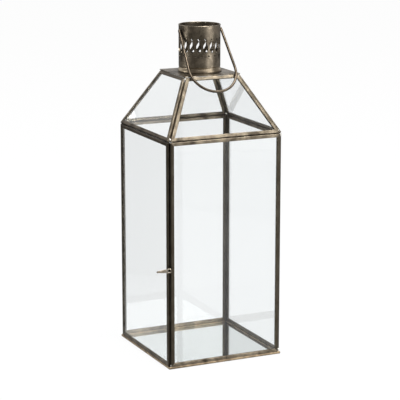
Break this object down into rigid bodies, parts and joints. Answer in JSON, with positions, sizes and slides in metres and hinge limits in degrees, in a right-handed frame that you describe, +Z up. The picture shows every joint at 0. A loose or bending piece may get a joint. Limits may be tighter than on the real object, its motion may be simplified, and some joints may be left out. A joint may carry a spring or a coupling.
{
  "type": "glass lantern",
  "caption": "Square glass lantern of folded brass channel with a hinged glass door, mirror floor, glazed roof, pierced chimney and wire bail.",
  "frame": {"origin": "centre of the base's underside, on the surface that the lantern stands on", "axes": "+Z up; the front is -Y; the door is the -X side, hinged at its rear edge; the bail pivots about X"},
  "size_m": [0.1875, 0.17, 0.4581],
  "materials": {
    "channel": "aged, satin, darkened in the folds",
    "clear_glass": "clear, polished",
    "mirror_glass": "silvered, polished",
    "chimney_brass": "aged, satin, brushed round",
    "plate_brass": "aged, satin",
    "bail_wire": "aged, drawn wire",
    "pin_brass": "aged, rubbed",
    "latch_brass": "aged, rubbed bright",
    "seam_solder": "dull soft solder, toned dark",
    "backing": "black lacquer, scuffed",
    "solder": "dull soft solder, toned"
  },
  "bodies": {
    "frame": {"base_backing": "backing", "base_channel_bottom": "channel", "base_channel_left": "channel", "base_channel_right": "channel", "base_channel_top": "channel", "base_mirror": "mirror_glass", "chimney_collar": "chimney_brass", "chimney_tube": "chimney_brass", "corner_seams": "seam_solder", "door_stop_head": "channel", "door_stop_upright": "channel", "eave_seams": "seam_solder", "front_channel_bottom": "channel", "front_channel_left": "channel", "front_channel_right": "channel", "front_channel_top": "channel", "front_glass": "clear_glass", "hinge_rod": "pin_brass", "hip_seams": "seam_solder", "latch_bracket": "latch_brass", "latch_pin": "pin_brass", "rear_channel_bottom": "channel", "rear_channel_left": "channel", "rear_channel_right": "channel", "rear_channel_top": "channel", "rear_glass": "clear_glass", "right_channel_bottom": "channel", "right_channel_left": "channel", "right_channel_right": "channel", "right_channel_top": "channel", "right_glass": "clear_glass", "roof_front_channel_bottom": "channel", "roof_front_channel_left": "channel", "roof_front_channel_right": "channel", "roof_front_channel_top": "channel", "roof_front_glass": "clear_glass", "roof_left_channel_bottom": "channel", "roof_left_channel_left": "channel", "roof_left_channel_right": "channel", "roof_left_channel_top": "channel", "roof_left_glass": "clear_glass", "roof_rear_channel_bottom": "channel", "roof_rear_channel_left": "channel", "roof_rear_channel_right": "channel", "roof_rear_channel_top": "channel", "roof_rear_glass": "clear_glass", "roof_right_channel_bottom": "channel", "roof_right_channel_left": "channel", "roof_right_channel_right": "channel", "roof_right_channel_top": "channel", "roof_right_glass": "clear_glass", "solder_beads": "solder", "top_plate": "plate_brass"},
    "door": {"door_channel_bottom": "channel", "door_channel_left": "channel", "door_channel_right": "channel", "door_channel_top": "channel", "door_glass": "clear_glass"},
    "latch": {"latch_lever": "latch_brass"},
    "bail": {"bail_handle": "bail_wire"}
  },
  "joints": [
    {"name": "door_hinge", "type": "hinge", "parent": "frame", "child": "door", "pos_m": [-0.0833, 0.0794, 0.158], "axis": [0, 0, -1], "range_deg": [0, 135]},
    {"name": "latch_turn", "type": "hinge", "parent": "frame", "child": "latch", "pos_m": [-0.0866, -0.0837, 0.139], "axis": [0, 0, -1], "range_deg": [-60, 90]},
    {"name": "bail_swing", "type": "hinge", "parent": "frame", "child": "bail", "pos_m": [0, 0, 0.45106], "axis": [-1, 0, 0], "range_deg": [0, 284.8]}
  ]
}
